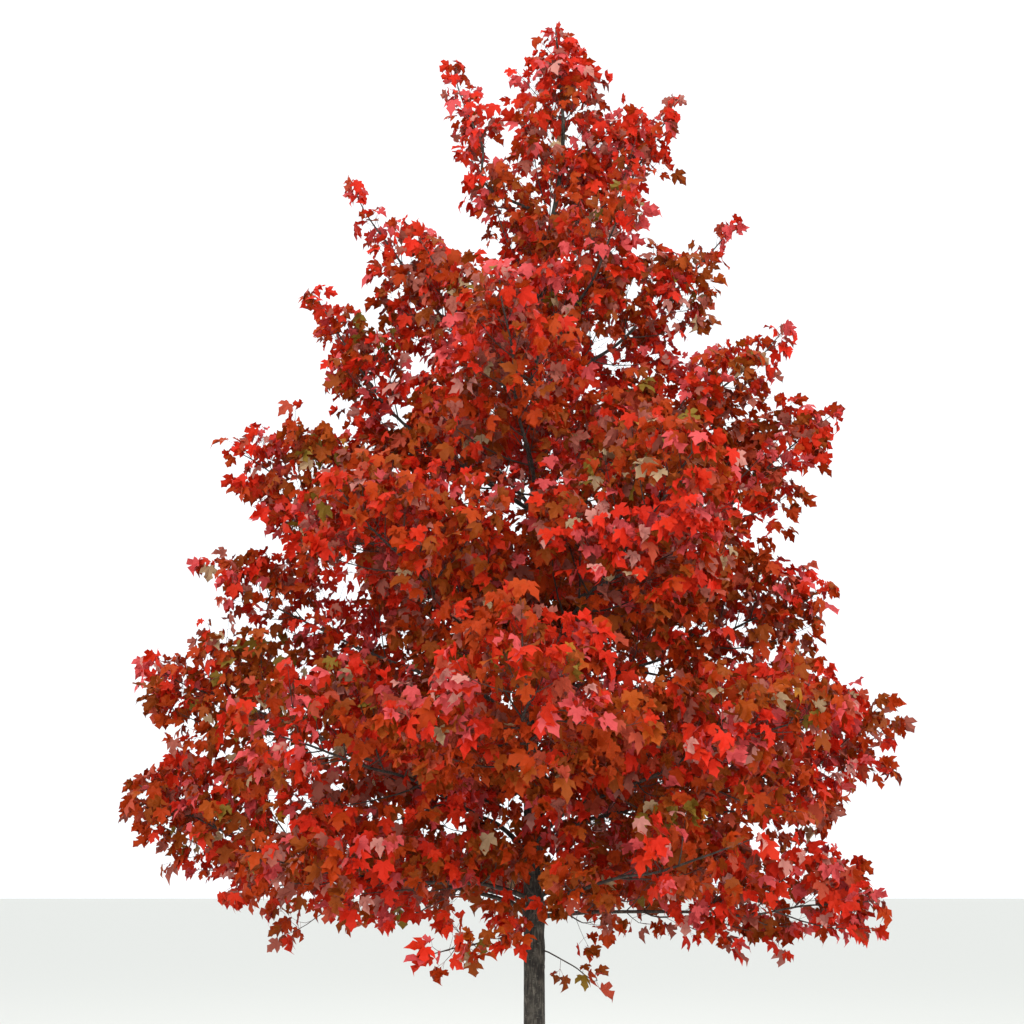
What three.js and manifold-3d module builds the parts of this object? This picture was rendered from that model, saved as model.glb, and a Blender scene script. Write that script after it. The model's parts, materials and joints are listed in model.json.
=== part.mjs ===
// A young red maple in full autumn leaf: one straight leader, limbs that sweep up and out from it in
// rising tiers, and a mass of foliage round the outer part of each limb.
// Units are millimetres, +Z is up and the origin is the middle of the flat cut under the trunk.
// -Y is the front, +X is the right-hand side, and azimuths turn from +X towards +Y (the back).

import * as THREE from "three";
import { mergeVertices } from "three/addons/utils/BufferGeometryUtils.js";
import Module from "manifold-3d";

const wasm = await Module();
wasm.setup();

// ---------------------------------------------------------------- driving dimensions

const HEIGHT = 7070; // ground to the highest leaves
const LEADER_TOP = 6960; // ground to the tip of the leader's wood
const BREAST_RADIUS = 56; // trunk radius 1.3 m above the ground
const FORK_HEIGHT = 1500; // where the lowest limbs leave
const FLARE_RADIUS = 92; // trunk radius at the ground, between the root ridges
const FLARE_RISE = 130; // height over which the root flare dies away
const ROOT_RIDGES = 5; // ridges round the flare
const RIDGE_SHARE = 0.1; // how far a ridge stands out, as a share of the radius
const CLEARANCE = 0.4; // gap kept between pieces that meet
const CUT_REACH = 6000; // side of the block that trims a mass, larger than any mass
const BLUNTNESS = 0.5; // how full a mass is at its inner end: 0 is square-ended and 1 is pointed
const LUMPINESS = 0.26; // how uneven a mass is, as a share of its size
const COLLAR_SWELL = 0.55; // extra girth of a limb where it joins the trunk
const COLLAR_LENGTH = 90; // how soon that swelling dies away

const TRUNK_SIDES = 12;
const TRUNK_RINGS = 22;
const LIMB_SIDES = 6;
const LIMB_RINGS = 4;
const MASS_SIDES = 9;
const MASS_RINGS = 8;

// The leader stands straight to about 5 m, then leans to the right and nods back at its tip.
const LEADER_LINE = new THREE.CatmullRomCurve3([
  new THREE.Vector3(0, 0, 0),
  new THREE.Vector3(0, 0, 1500),
  new THREE.Vector3(-12, 15, 2600),
  new THREE.Vector3(24, -15, 3700),
  new THREE.Vector3(12, 10, 4350),
  new THREE.Vector3(50, -10, 5150),
  new THREE.Vector3(150, 10, 5700),
  new THREE.Vector3(205, 0, 6150),
  new THREE.Vector3(190, 10, 6550),
  new THREE.Vector3(160, 0, LEADER_TOP),
]);

// Each tier's limbs, lowest first. turn is the azimuth in degrees. leaves, reach and top are in millimetres:
// where the limb's line meets the leader, how far out its tip is, and how high. spread and depth are
// half the width and half the height of its mass. sweep is how much of its rise the line keeps for its
// outer half: 0.5 is straight and 1 starts level. girth is the bough's radius at the leader, and drop is
// how far below leaves it starts, to rise steeply before it bends out; a limb's own girth or drop goes
// before its tier's. A tier's masses start at the share of the limb called bare, are widest at the share
// called widest, and come to a finer tip the larger point is. The upper tiers carry leaves right in to
// the leader, so they have no bare boughs.
const TIERS = [
  {
    tier: "skirt",
    bare: 0.24,
    widest: 0.5,
    point: 0.5,
    girth: 15,
    drop: 100,
    limbs: [
      {
        side: "right", turn: 352, leaves: 1510, reach: 1850, top: 1560, spread: 510, depth: 350, sweep: 1.5,
        drop: 50,
      },
      { side: "back_right", turn: 52, leaves: 1630, reach: 2000, top: 1800, spread: 590, depth: 350, sweep: 0.6 },
      { side: "back_left", turn: 120, leaves: 1570, reach: 1990, top: 1760, spread: 590, depth: 350, sweep: 0.6 },
      { side: "left", turn: 176, leaves: 1550, reach: 2310, top: 2220, spread: 570, depth: 500, sweep: 0.75 },
      { side: "front_left", turn: 216, leaves: 1620, reach: 1750, top: 1760, spread: 490, depth: 320, sweep: 0.5 },
      {
        side: "front", turn: 240, leaves: 1480, reach: 1080, top: 1310, spread: 350, depth: 180, sweep: 0.4,
        girth: 9, drop: 0,
      },
      { side: "front_right", turn: 306, leaves: 1560, reach: 1730, top: 1850, spread: 530, depth: 320, sweep: 0.6 },
      {
        side: "sprig", turn: 330, leaves: 1330, reach: 450, top: 1090, spread: 110, depth: 70, sweep: 0.7,
        girth: 4, drop: 0,
      },
    ],
  },
  {
    tier: "lower",
    bare: 0.22,
    widest: 0.52,
    point: 0.5,
    girth: 16,
    drop: 240,
    limbs: [
      { side: "right", turn: 2, leaves: 1970, reach: 2090, top: 2540, spread: 570, depth: 600, sweep: 0.85 },
      { side: "back_right", turn: 56, leaves: 2110, reach: 2170, top: 2650, spread: 680, depth: 510, sweep: 0.7 },
      { side: "back_left", turn: 122, leaves: 2210, reach: 2170, top: 2800, spread: 680, depth: 510, sweep: 0.7 },
      { side: "left", turn: 180, leaves: 2070, reach: 2230, top: 2900, spread: 550, depth: 550, sweep: 0.75 },
      { side: "front_left", turn: 222, leaves: 1930, reach: 1940, top: 2450, spread: 570, depth: 470, sweep: 0.7 },
      { side: "front", turn: 268, leaves: 2160, reach: 2090, top: 2600, spread: 620, depth: 470, sweep: 0.7 },
      { side: "front_right", turn: 316, leaves: 2010, reach: 1990, top: 2480, spread: 590, depth: 470, sweep: 0.7 },
    ],
  },
  {
    tier: "middle",
    bare: 0.2,
    widest: 0.44,
    point: 0.75,
    girth: 15,
    drop: 240,
    limbs: [
      { side: "low_right", turn: 348, leaves: 2670, reach: 1700, top: 3250, spread: 480, depth: 480, sweep: 0.7 },
      { side: "right", turn: 8, leaves: 3050, reach: 1900, top: 4460, spread: 450, depth: 450, sweep: 0.55 },
      { side: "back", turn: 66, leaves: 2810, reach: 1970, top: 3850, spread: 630, depth: 540, sweep: 0.6 },
      { side: "back_left", turn: 122, leaves: 2910, reach: 1910, top: 3950, spread: 600, depth: 540, sweep: 0.6 },
      { side: "low_left", turn: 170, leaves: 2610, reach: 2040, top: 3520, spread: 430, depth: 470, sweep: 0.7 },
      { side: "left", turn: 188, leaves: 3110, reach: 1790, top: 4080, spread: 480, depth: 540, sweep: 0.55 },
      { side: "front_left", turn: 236, leaves: 2760, reach: 1800, top: 3550, spread: 560, depth: 520, sweep: 0.6 },
      { side: "front_right", turn: 296, leaves: 2860, reach: 1860, top: 3700, spread: 580, depth: 520, sweep: 0.6 },
    ],
  },
  {
    tier: "upper",
    bare: 0,
    widest: 0.4,
    point: 1.05,
    girth: 12,
    limbs: [
      { side: "left", turn: 182, leaves: 3760, reach: 1380, top: 5130, spread: 470, depth: 470, sweep: 0.75 },
      { side: "right", turn: 357, leaves: 3720, reach: 1530, top: 4880, spread: 440, depth: 460, sweep: 0.65 },
      { side: "front", turn: 262, leaves: 3660, reach: 1550, top: 4650, spread: 570, depth: 510, sweep: 0.6 },
      { side: "back_right", turn: 58, leaves: 3720, reach: 1590, top: 4850, spread: 550, depth: 510, sweep: 0.6 },
      { side: "back_left", turn: 118, leaves: 3820, reach: 1590, top: 4900, spread: 530, depth: 510, sweep: 0.6 },
    ],
  },
  {
    tier: "shoulder",
    bare: 0,
    widest: 0.38,
    point: 1.15,
    girth: 9.5,
    limbs: [
      { side: "left", turn: 180, leaves: 4500, reach: 1160, top: 5890, spread: 330, depth: 350, sweep: 0.75 },
      { side: "right", turn: 3, leaves: 4480, reach: 1290, top: 5650, spread: 370, depth: 380, sweep: 0.68 },
      { side: "front_left", turn: 230, leaves: 4400, reach: 1050, top: 5150, spread: 400, depth: 410, sweep: 0.6 },
      { side: "front_right", turn: 302, leaves: 4460, reach: 1110, top: 5500, spread: 400, depth: 410, sweep: 0.6 },
      { side: "back", turn: 92, leaves: 4560, reach: 1230, top: 5600, spread: 460, depth: 430, sweep: 0.6 },
    ],
  },
  {
    tier: "crest",
    bare: 0,
    widest: 0.45,
    point: 0.75,
    girth: 6.5,
    limbs: [
      { side: "right", turn: 358, leaves: 5360, reach: 860, top: 6440, spread: 260, depth: 260, sweep: 0.62 },
      { side: "left", turn: 184, leaves: 5350, reach: 590, top: 6700, spread: 220, depth: 200, sweep: 0.75 },
    ],
  },
];

// The leader's own mass, from below the crest limbs to the top of the tree.
const LEADER_MASS = { from: 4850, widest: 0.4, point: 0.75, spread: 390, depth: 380 };

// ---------------------------------------------------------------- colours

const BARK = new THREE.MeshStandardMaterial({ color: 0x5d564c, roughness: 0.9, metalness: 0 });
const FOLIAGE = new THREE.MeshStandardMaterial({ color: 0xa52a22, roughness: 0.7, metalness: 0 });

// ---------------------------------------------------------------- solids

/** A closed three.js geometry as a manifold-3d solid. */
function solidOf(geometry) {
  const bare = geometry.clone();
  bare.deleteAttribute("normal");
  bare.deleteAttribute("uv");
  const merged = mergeVertices(bare, 1e-3);
  return new wasm.Manifold(
    new wasm.Mesh({
      numProp: 3,
      vertProperties: merged.attributes.position.array,
      triVerts: new Uint32Array(merged.index.array),
    }),
  );
}

/** A manifold-3d solid as a three.js geometry. */
function geometryOf(solid) {
  const mesh = solid.getMesh();
  const geometry = new THREE.BufferGeometry();
  geometry.setAttribute("position", new THREE.BufferAttribute(mesh.vertProperties, 3));
  geometry.setIndex(new THREE.BufferAttribute(mesh.triVerts, 1));
  return geometry;
}

/** The largest separate body of a solid. */
function largestBody(solid) {
  return solid.decompose().reduce((best, body) => (body.volume() > best.volume() ? body : best));
}

/** The two directions across a path that runs along tangent; reference is any direction across it. */
function across(tangent, reference) {
  const side = new THREE.Vector3().crossVectors(reference, tangent).normalize();
  const rise = new THREE.Vector3().crossVectors(side, tangent);
  return { side, rise };
}

/** Bends a unit geometry, whose axis is Y, along a path. place(vertex) gives share, x and z. */
function alongPath(geometry, path, reference, place) {
  const position = geometry.attributes.position;
  const vertex = new THREE.Vector3();
  for (let i = 0; i < position.count; i++) {
    const { share, x, z } = place(vertex.fromBufferAttribute(position, i));
    const { side, rise } = across(path.getTangent(share), reference);
    const point = path.getPoint(share).addScaledVector(side, x).addScaledVector(rise, z);
    position.setXYZ(i, point.x, point.y, point.z);
  }
  return geometry;
}

// ---------------------------------------------------------------- trunk

/** The trunk's radius at a height, above the root flare. */
function stemRadius(height) {
  const belowFork = BREAST_RADIUS * (1.06 - 0.06 * (height / 1300));
  const pastFork = THREE.MathUtils.smoothstep(height, FORK_HEIGHT, FORK_HEIGHT + 900);
  const leader = 42 * Math.pow(Math.max(0, 1 - height / (LEADER_TOP + 250)), 0.85) + 1.5;
  return THREE.MathUtils.lerp(belowFork, leader * 1.22, pastFork);
}

/** The trunk's radius at a height and an angle round it, with the root flare and its ridges. */
function trunkRadius(height, angle) {
  const flare = Math.exp(-height / FLARE_RISE);
  const ridges = 1 + RIDGE_SHARE * flare * Math.cos(ROOT_RIDGES * angle + 0.6);
  return (stemRadius(height) + (FLARE_RADIUS - stemRadius(0)) * flare) * ridges;
}

/** The trunk as a tapering solid. Its rings crowd together towards the ground, where it flares. */
function trunkGeometry(extra = 0) {
  const unit = new THREE.CylinderGeometry(1, 1, 1, TRUNK_SIDES, TRUNK_RINGS);
  return alongPath(unit, LEADER_LINE, new THREE.Vector3(0, 1, 0), (vertex) => {
    const share = Math.pow(vertex.y + 0.5, 1.45);
    const height = LEADER_LINE.getPoint(share).z;
    const away = Math.hypot(vertex.x, vertex.z);
    const radius = away * (trunkRadius(height, Math.atan2(vertex.z, vertex.x)) + extra);
    const angle = Math.atan2(vertex.z, vertex.x);
    return { share, x: radius * Math.cos(angle), z: radius * Math.sin(angle) };
  });
}

/** The leader's centre at a height. */
function leaderAt(height) {
  let low = 0;
  let high = 1;
  for (let step = 0; step < 30; step++) {
    const middle = (low + high) / 2;
    if (LEADER_LINE.getPoint(middle).z < height) low = middle;
    else high = middle;
  }
  return LEADER_LINE.getPoint(low);
}

// ---------------------------------------------------------------- limbs

/** The line that a limb's mass follows, from the leader's centre to the tip: out, then sweeping up. */
function limbLine(limb) {
  const turn = THREE.MathUtils.degToRad(limb.turn);
  const start = leaderAt(limb.leaves);
  const out = (reach, height) =>
    new THREE.Vector3(start.x + reach * Math.cos(turn), start.y + reach * Math.sin(turn), height);
  const knee = limb.leaves + (limb.top - limb.leaves) * (1 - limb.sweep);
  return new THREE.QuadraticBezierCurve3(start, out(limb.reach * 0.5, knee), out(limb.reach, limb.top));
}

/** A stretch of a path as a path of its own. */
function stretch(path, from, to) {
  const steps = 12;
  const points = [];
  for (let i = 0; i <= steps; i++) points.push(path.getPoint(from + ((to - from) * i) / steps));
  return new THREE.CatmullRomCurve3(points);
}

/** The line of a limb's bare bough: steeply up from the leader, then bending out to meet its mass. */
function boughLine(limb, bare) {
  const line = limbLine(limb);
  const start = leaderAt(limb.leaves - limb.drop);
  const end = line.getPoint(bare);
  const away = end.clone().sub(start).setZ(0);
  const first = start.clone().addScaledVector(away, 0.22);
  first.z += 0.75 * (end.z - start.z);
  const last = end.clone().addScaledVector(line.getTangent(bare), -0.4 * away.length());
  return new THREE.CubicBezierCurve3(start, first, last, end);
}

/** One tapering bough from inside the leader to where its mass begins. */
function boughGeometry(limb, bare, extra = 0) {
  const path = boughLine(limb, bare);
  const length = path.getLength();
  const unit = new THREE.CylinderGeometry(1, 1, 1, LIMB_SIDES, LIMB_RINGS);
  return alongPath(unit, path, new THREE.Vector3(0, 0, 1), (vertex) => {
    const share = Math.pow(vertex.y + 0.5, 1.5);
    const clear = Math.max(0, share * length - stemRadius(limb.leaves - limb.drop));
    const collar = 1 + COLLAR_SWELL * Math.exp(-clear / COLLAR_LENGTH);
    const radius = limb.girth * (1 - 0.3 * share) * collar + extra;
    return { share, x: vertex.x * radius, z: vertex.z * radius };
  });
}

// ---------------------------------------------------------------- masses of foliage

/** How full a mass is along its line: 0 at its ends and 1 where it is widest. */
function fullness(share, { widest, point }) {
  const turned = Math.pow(share, Math.log(0.5) / Math.log(widest));
  return Math.pow(Math.sin(Math.PI * turned), turned < 0.5 ? BLUNTNESS : point);
}

/** A smooth, repeatable swelling of a mass, about -1 to 1, at an angle and a share of its length. */
function lump(seed, angle, share) {
  const wave = (turns, along, phase) => Math.sin(turns * angle + along * share + phase * seed);
  return 0.45 * wave(2, 5.1, 1.7) + 0.35 * wave(3, -9.3, 2.9) + 0.3 * wave(1, 14.7, 4.3);
}

/** One uneven mass of foliage round a path. */
function massGeometry(path, shape, seed, extra = 0) {
  const spread = shape.spread + extra;
  const depth = shape.depth + extra;
  const upright = Math.abs(path.getTangent(0.5).z) > 0.97;
  const reference = upright ? new THREE.Vector3(0, 1, 0) : new THREE.Vector3(0, 0, 1);
  const unit = new THREE.SphereGeometry(1, MASS_SIDES, MASS_RINGS);
  return alongPath(unit, path, reference, (vertex) => {
    const share = Math.acos(THREE.MathUtils.clamp(-vertex.y, -1, 1)) / Math.PI;
    const angle = Math.atan2(vertex.z, vertex.x);
    const pole = share < 1e-6 || share > 1 - 1e-6;
    const size = pole ? 0 : fullness(share, shape) * (1 + LUMPINESS * lump(seed, angle, share));
    return { share, x: spread * size * Math.cos(angle), z: depth * size * Math.sin(angle) };
  });
}

/** Everything beyond a plane, as a solid: the plane passes through point and normal leads away. */
function beyond(point, normal) {
  const block = new THREE.BoxGeometry(CUT_REACH, CUT_REACH, CUT_REACH);
  block.translate(0, 0, CUT_REACH / 2);
  block.applyQuaternion(new THREE.Quaternion().setFromUnitVectors(new THREE.Vector3(0, 0, 1), normal));
  block.translate(point.x, point.y, point.z);
  return solidOf(block);
}

/** The plane that parts two masses: it stands across the place where their lines crowd most. */
function partingPlane(one, other) {
  const steps = 14;
  let worst = { crowding: Infinity };
  for (let i = 1; i < steps; i++) {
    for (let j = 1; j < steps; j++) {
      const from = one.path.getPoint(i / steps);
      const to = other.path.getPoint(j / steps);
      const near = fullness(i / steps, one.shape) * one.size;
      const far = fullness(j / steps, other.shape) * other.size;
      const crowding = from.distanceTo(to) / (near + far);
      if (crowding < worst.crowding) worst = { crowding, from, to, share: near / (near + far) };
    }
  }
  const normal = worst.to.clone().sub(worst.from).normalize();
  return { point: worst.from.clone().lerp(worst.to, worst.share), normal };
}

/** Cuts two masses apart along their parting plane, if they run into each other. */
function part(one, other) {
  if (one.solid.intersect(other.solid).isEmpty()) return;
  const { point, normal } = partingPlane(one, other);
  const back = normal.clone().negate();
  const edge = point.clone().addScaledVector(back, CLEARANCE / 2);
  const otherEdge = point.clone().addScaledVector(normal, CLEARANCE / 2);
  one.solid = largestBody(one.solid.subtract(beyond(edge, normal)));
  other.solid = largestBody(other.solid.subtract(beyond(otherEdge, back)));
}

// ---------------------------------------------------------------- the tree

const maple = new THREE.Group();

function add(name, solid, material) {
  const mesh = new THREE.Mesh(geometryOf(solid), material);
  mesh.name = name;
  maple.add(mesh);
}

const trunk = solidOf(trunkGeometry());
const trunkRoom = solidOf(trunkGeometry(CLEARANCE));
const limbs = [];
const masses = [];

/** Starts a mass round a path; shape is its spread, depth, widest and point. */
function grow(name, path, shape) {
  const size = (shape.spread + shape.depth) / 2;
  masses.push({ name, path, shape, size, solid: solidOf(massGeometry(path, shape, masses.length + 1)) });
}

for (const { tier, bare, limbs: row, ...common } of TIERS) {
  for (const limb of row.map((own) => ({ ...common, ...own }))) {
    const line = limbLine(limb);
    if (bare > 0) {
      limbs.push({
        name: `${tier}_bough_${limb.side}`,
        solid: largestBody(solidOf(boughGeometry(limb, bare)).subtract(trunkRoom)),
        room: solidOf(boughGeometry(limb, bare, CLEARANCE)),
      });
    }
    const path = stretch(line, bare > 0 ? bare + CLEARANCE / limb.reach : 0.05, 1);
    grow(`${tier}_foliage_${limb.side}`, path, limb);
  }
}

masses.forEach((one, i) => masses.slice(i + 1).forEach((other) => part(one, other)));

// The leader's mass stays whole round the leader, and the masses beside it are cut back to it.
const leaderPath = new THREE.CatmullRomCurve3([
  leaderAt(LEADER_MASS.from),
  leaderAt(5450),
  leaderAt(6000),
  leaderAt(6500),
  new THREE.Vector3(155, 0, HEIGHT),
]);
const leaderRoom = solidOf(massGeometry(leaderPath, LEADER_MASS, 0, CLEARANCE));
for (const mass of masses) mass.solid = largestBody(mass.solid.subtract(leaderRoom));
masses.push({ name: "leader_foliage", solid: solidOf(massGeometry(leaderPath, LEADER_MASS, 0)) });

for (const mass of masses) {
  for (const room of [trunkRoom, ...limbs.map((limb) => limb.room)]) {
    if (!mass.solid.intersect(room).isEmpty()) mass.solid = largestBody(mass.solid.subtract(room));
  }
}

add("trunk", trunk, BARK);
limbs.forEach((limb) => add(limb.name, limb.solid, BARK));
masses.forEach((mass) => add(mass.name, mass.solid, FOLIAGE));

export default maple;
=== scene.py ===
"""The looks of a young red maple in autumn leaf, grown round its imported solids.

The trunk and its limbs get a mesh with the relief of their bark. Each mass of foliage is replaced by
shoots, twigs and leaves, which one seeded branching rule grows on from the limbs as far as the mass has
room. The place and size of the trunk, the limbs and the masses are read from the frame. All lengths are
in metres unless a name ends in _mm, +Z is up and -Y is the front.
"""

from __future__ import annotations

import json
import logging
import math
from dataclasses import dataclass, field
from enum import Enum
from typing import Any, Iterator, Sequence

import bpy
import numpy as np
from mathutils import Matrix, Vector, noise
from mathutils.bvhtree import BVHTree
from mathutils.geometry import delaunay_2d_cdt

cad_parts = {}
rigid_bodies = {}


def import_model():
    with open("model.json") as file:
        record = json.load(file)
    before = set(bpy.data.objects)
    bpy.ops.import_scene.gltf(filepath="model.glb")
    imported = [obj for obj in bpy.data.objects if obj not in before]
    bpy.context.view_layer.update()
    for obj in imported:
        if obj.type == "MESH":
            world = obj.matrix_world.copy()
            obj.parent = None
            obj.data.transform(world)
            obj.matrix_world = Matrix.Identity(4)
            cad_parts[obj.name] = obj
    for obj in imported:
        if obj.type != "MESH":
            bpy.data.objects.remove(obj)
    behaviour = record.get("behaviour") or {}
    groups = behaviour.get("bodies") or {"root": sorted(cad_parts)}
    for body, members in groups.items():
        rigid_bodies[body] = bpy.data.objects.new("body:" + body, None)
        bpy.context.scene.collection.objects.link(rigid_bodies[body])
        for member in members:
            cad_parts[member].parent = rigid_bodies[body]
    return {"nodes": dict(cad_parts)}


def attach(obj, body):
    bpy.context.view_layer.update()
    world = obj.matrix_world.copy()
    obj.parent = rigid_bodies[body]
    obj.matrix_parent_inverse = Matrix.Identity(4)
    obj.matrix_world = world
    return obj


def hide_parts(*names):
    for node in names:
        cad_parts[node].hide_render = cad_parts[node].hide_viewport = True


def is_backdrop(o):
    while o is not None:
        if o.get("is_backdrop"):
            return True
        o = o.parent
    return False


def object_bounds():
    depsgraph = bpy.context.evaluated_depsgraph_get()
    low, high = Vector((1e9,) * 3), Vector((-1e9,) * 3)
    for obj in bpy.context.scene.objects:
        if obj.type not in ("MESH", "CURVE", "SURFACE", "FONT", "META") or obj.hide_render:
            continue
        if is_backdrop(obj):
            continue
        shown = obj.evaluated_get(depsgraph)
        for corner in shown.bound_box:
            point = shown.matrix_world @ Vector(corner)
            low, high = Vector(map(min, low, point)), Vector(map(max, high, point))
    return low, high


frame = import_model()
CAD_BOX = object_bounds()

LOG = logging.getLogger("maple")
MM = 0.001
UP = np.array((0.0, 0.0, 1.0))
FLAT = np.array((1.0, 1.0, 0.0))  # multiplies a vector to take its height away
TINY = 1e-12
BODY = "root"
TOP_MASS = "leader_foliage"
SEED = 4127


# ---------------------------------------------------------------------------------- small tools


def unit(vector: np.ndarray) -> np.ndarray:
    """Scales a vector, or each row of an array of them, to a length of one.

    Args:
        vector: One vector, or an array with one in each row.

    Returns:
        The same shape, with every length one.
    """
    return vector / np.maximum(np.linalg.norm(vector, axis=-1, keepdims=True), TINY)


def ring_axes(tangent: np.ndarray) -> tuple[np.ndarray, np.ndarray]:
    """Finds two directions across a stem.

    Args:
        tangent: The direction in which the stem runs.

    Returns:
        Two unit vectors, square to the stem and to each other.
    """
    reference = UP if abs(tangent[2]) < 0.9 else np.array((0.0, 1.0, 0.0))
    side = unit(np.cross(reference, tangent))
    return side, np.cross(tangent, side)


def smooth_line(knots: np.ndarray, step: float) -> np.ndarray:
    """Draws a smooth line through a few points.

    Args:
        knots: The points, one in each row.
        step: The distance from one point of the result to the next.

    Returns:
        Evenly spaced points on a Catmull-Rom curve through the knots.
    """
    steps_between_knots = 12
    padded = np.vstack((2 * knots[0] - knots[1], knots, 2 * knots[-1] - knots[-2]))
    share = np.linspace(0, 1, steps_between_knots, endpoint=False)[:, None]
    pieces = []
    for before, start, end, after in zip(padded, padded[1:], padded[2:], padded[3:]):
        linear = (end - before) * share
        square = (2 * before - 5 * start + 4 * end - after) * share**2
        cube = (3 * start - before - 3 * end + after) * share**3
        pieces.append(start + 0.5 * (linear + square + cube))
    line = np.vstack((*pieces, knots[-1]))
    along = np.concatenate(([0.0], np.cumsum(np.linalg.norm(np.diff(line, axis=0), axis=1))))
    wanted = np.linspace(0, along[-1], max(3, round(along[-1] / step) + 1))
    return np.column_stack([np.interp(wanted, along, line[:, axis]) for axis in range(3)])


def linear_colour(hex_colour: int) -> tuple[float, float, float, float]:
    """Turns an sRGB hex colour into the linear colour that a shader takes.

    Args:
        hex_colour: The colour as 0xRRGGBB.

    Returns:
        Red, green, blue and an alpha of one.
    """
    channels = [(hex_colour >> shift & 255) / 255 for shift in (16, 8, 0)]
    light = [c / 12.92 if c <= 0.04045 else ((c + 0.055) / 1.055) ** 2.4 for c in channels]
    return (*light, 1.0)


def add_node(
    tree: bpy.types.NodeTree, kind: str, inputs: dict | None = None, **settings: Any
) -> bpy.types.Node:
    """Adds a node with its settings and its inputs.

    Args:
        tree: The node tree to add to.
        kind: The node's type name.
        inputs: A value, or an output socket to link from, for each input by its name or number.
        settings: The node's own properties.

    Returns:
        The new node.
    """
    node = tree.nodes.new(kind)
    for name, value in settings.items():
        setattr(node, name, value)
    for key, value in (inputs or {}).items():
        if isinstance(value, bpy.types.NodeSocket):
            tree.links.new(value, node.inputs[key])
        else:
            node.inputs[key].default_value = value
    return node


def new_tree(name: str, inputs: dict[str, str]) -> bpy.types.NodeTree:
    """Starts a Geometry Nodes tree that takes a mesh and gives one.

    Args:
        name: The tree's name.
        inputs: The socket type of each further named input.

    Returns:
        The tree, still without nodes.
    """
    tree = bpy.data.node_groups.new(name, "GeometryNodeTree")
    for socket, kind in {"Geometry": "NodeSocketGeometry", **inputs}.items():
        tree.interface.new_socket(socket, in_out="INPUT", socket_type=kind)
    tree.interface.new_socket("Geometry", in_out="OUTPUT", socket_type="NodeSocketGeometry")
    return tree


def run_nodes(made: bpy.types.Object, tree: bpy.types.NodeTree, inputs: dict[str, Any]) -> bpy.types.Object:
    """Runs a Geometry Nodes tree on an object and keeps the result as its plain mesh.

    Args:
        made: The object.
        tree: The node tree.
        inputs: A value for each of the tree's named inputs.

    Returns:
        The same object, with the new mesh and no modifier.
    """
    modifier = made.modifiers.new("grow", "NODES")
    modifier.node_group = tree
    sockets = {item.name: item.identifier for item in tree.interface.items_tree if item.in_out == "INPUT"}
    for name, value in inputs.items():
        modifier[sockets[name]] = value
    bpy.context.view_layer.update()
    evaluated = made.evaluated_get(bpy.context.evaluated_depsgraph_get())
    mesh = bpy.data.meshes.new_from_object(evaluated)
    mesh.name = made.name
    made.modifiers.remove(modifier)
    made.data = mesh
    return made


def add_object(name: str, data: bpy.types.ID | None) -> bpy.types.Object:
    """Puts a mesh, a light or a camera into the scene as an object at the origin.

    Args:
        name: The object's name.
        data: What the object shows.

    Returns:
        The new object.
    """
    made = bpy.data.objects.new(name, data)
    bpy.context.scene.collection.objects.link(made)
    return made


def mesh_of(
    name: str, points: Sequence, faces: Sequence[Sequence[int]] = (), edges: Sequence[Sequence[int]] = ()
) -> bpy.types.Mesh:
    """Makes a mesh from lists of numbers.

    Args:
        name: The mesh's name.
        points: The vertices, one in each row.
        faces: The vertex numbers of each face.
        edges: The vertex numbers of each loose edge.

    Returns:
        The new mesh.
    """
    mesh = bpy.data.meshes.new(name)
    mesh.from_pydata(np.asarray(points, float), edges, faces)
    mesh.update()
    return mesh


def triangle_count(made: bpy.types.Object) -> int:
    """Counts an object's triangles."""
    made.data.calc_loop_triangles()
    return len(made.data.loop_triangles)


def hand_over(made: bpy.types.Object, replaced: list[str]) -> None:
    """Makes a finished piece part of the tree.

    Args:
        made: The piece, a plain mesh at the origin.
        replaced: The CAD nodes that it stands for.
    """
    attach(made, BODY)
    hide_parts(*replaced)
    LOG.info("%s: %d triangles, for %d CAD nodes", made.name, triangle_count(made), len(replaced))


# ---------------------------------------------------------------------------------- finishes


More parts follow.
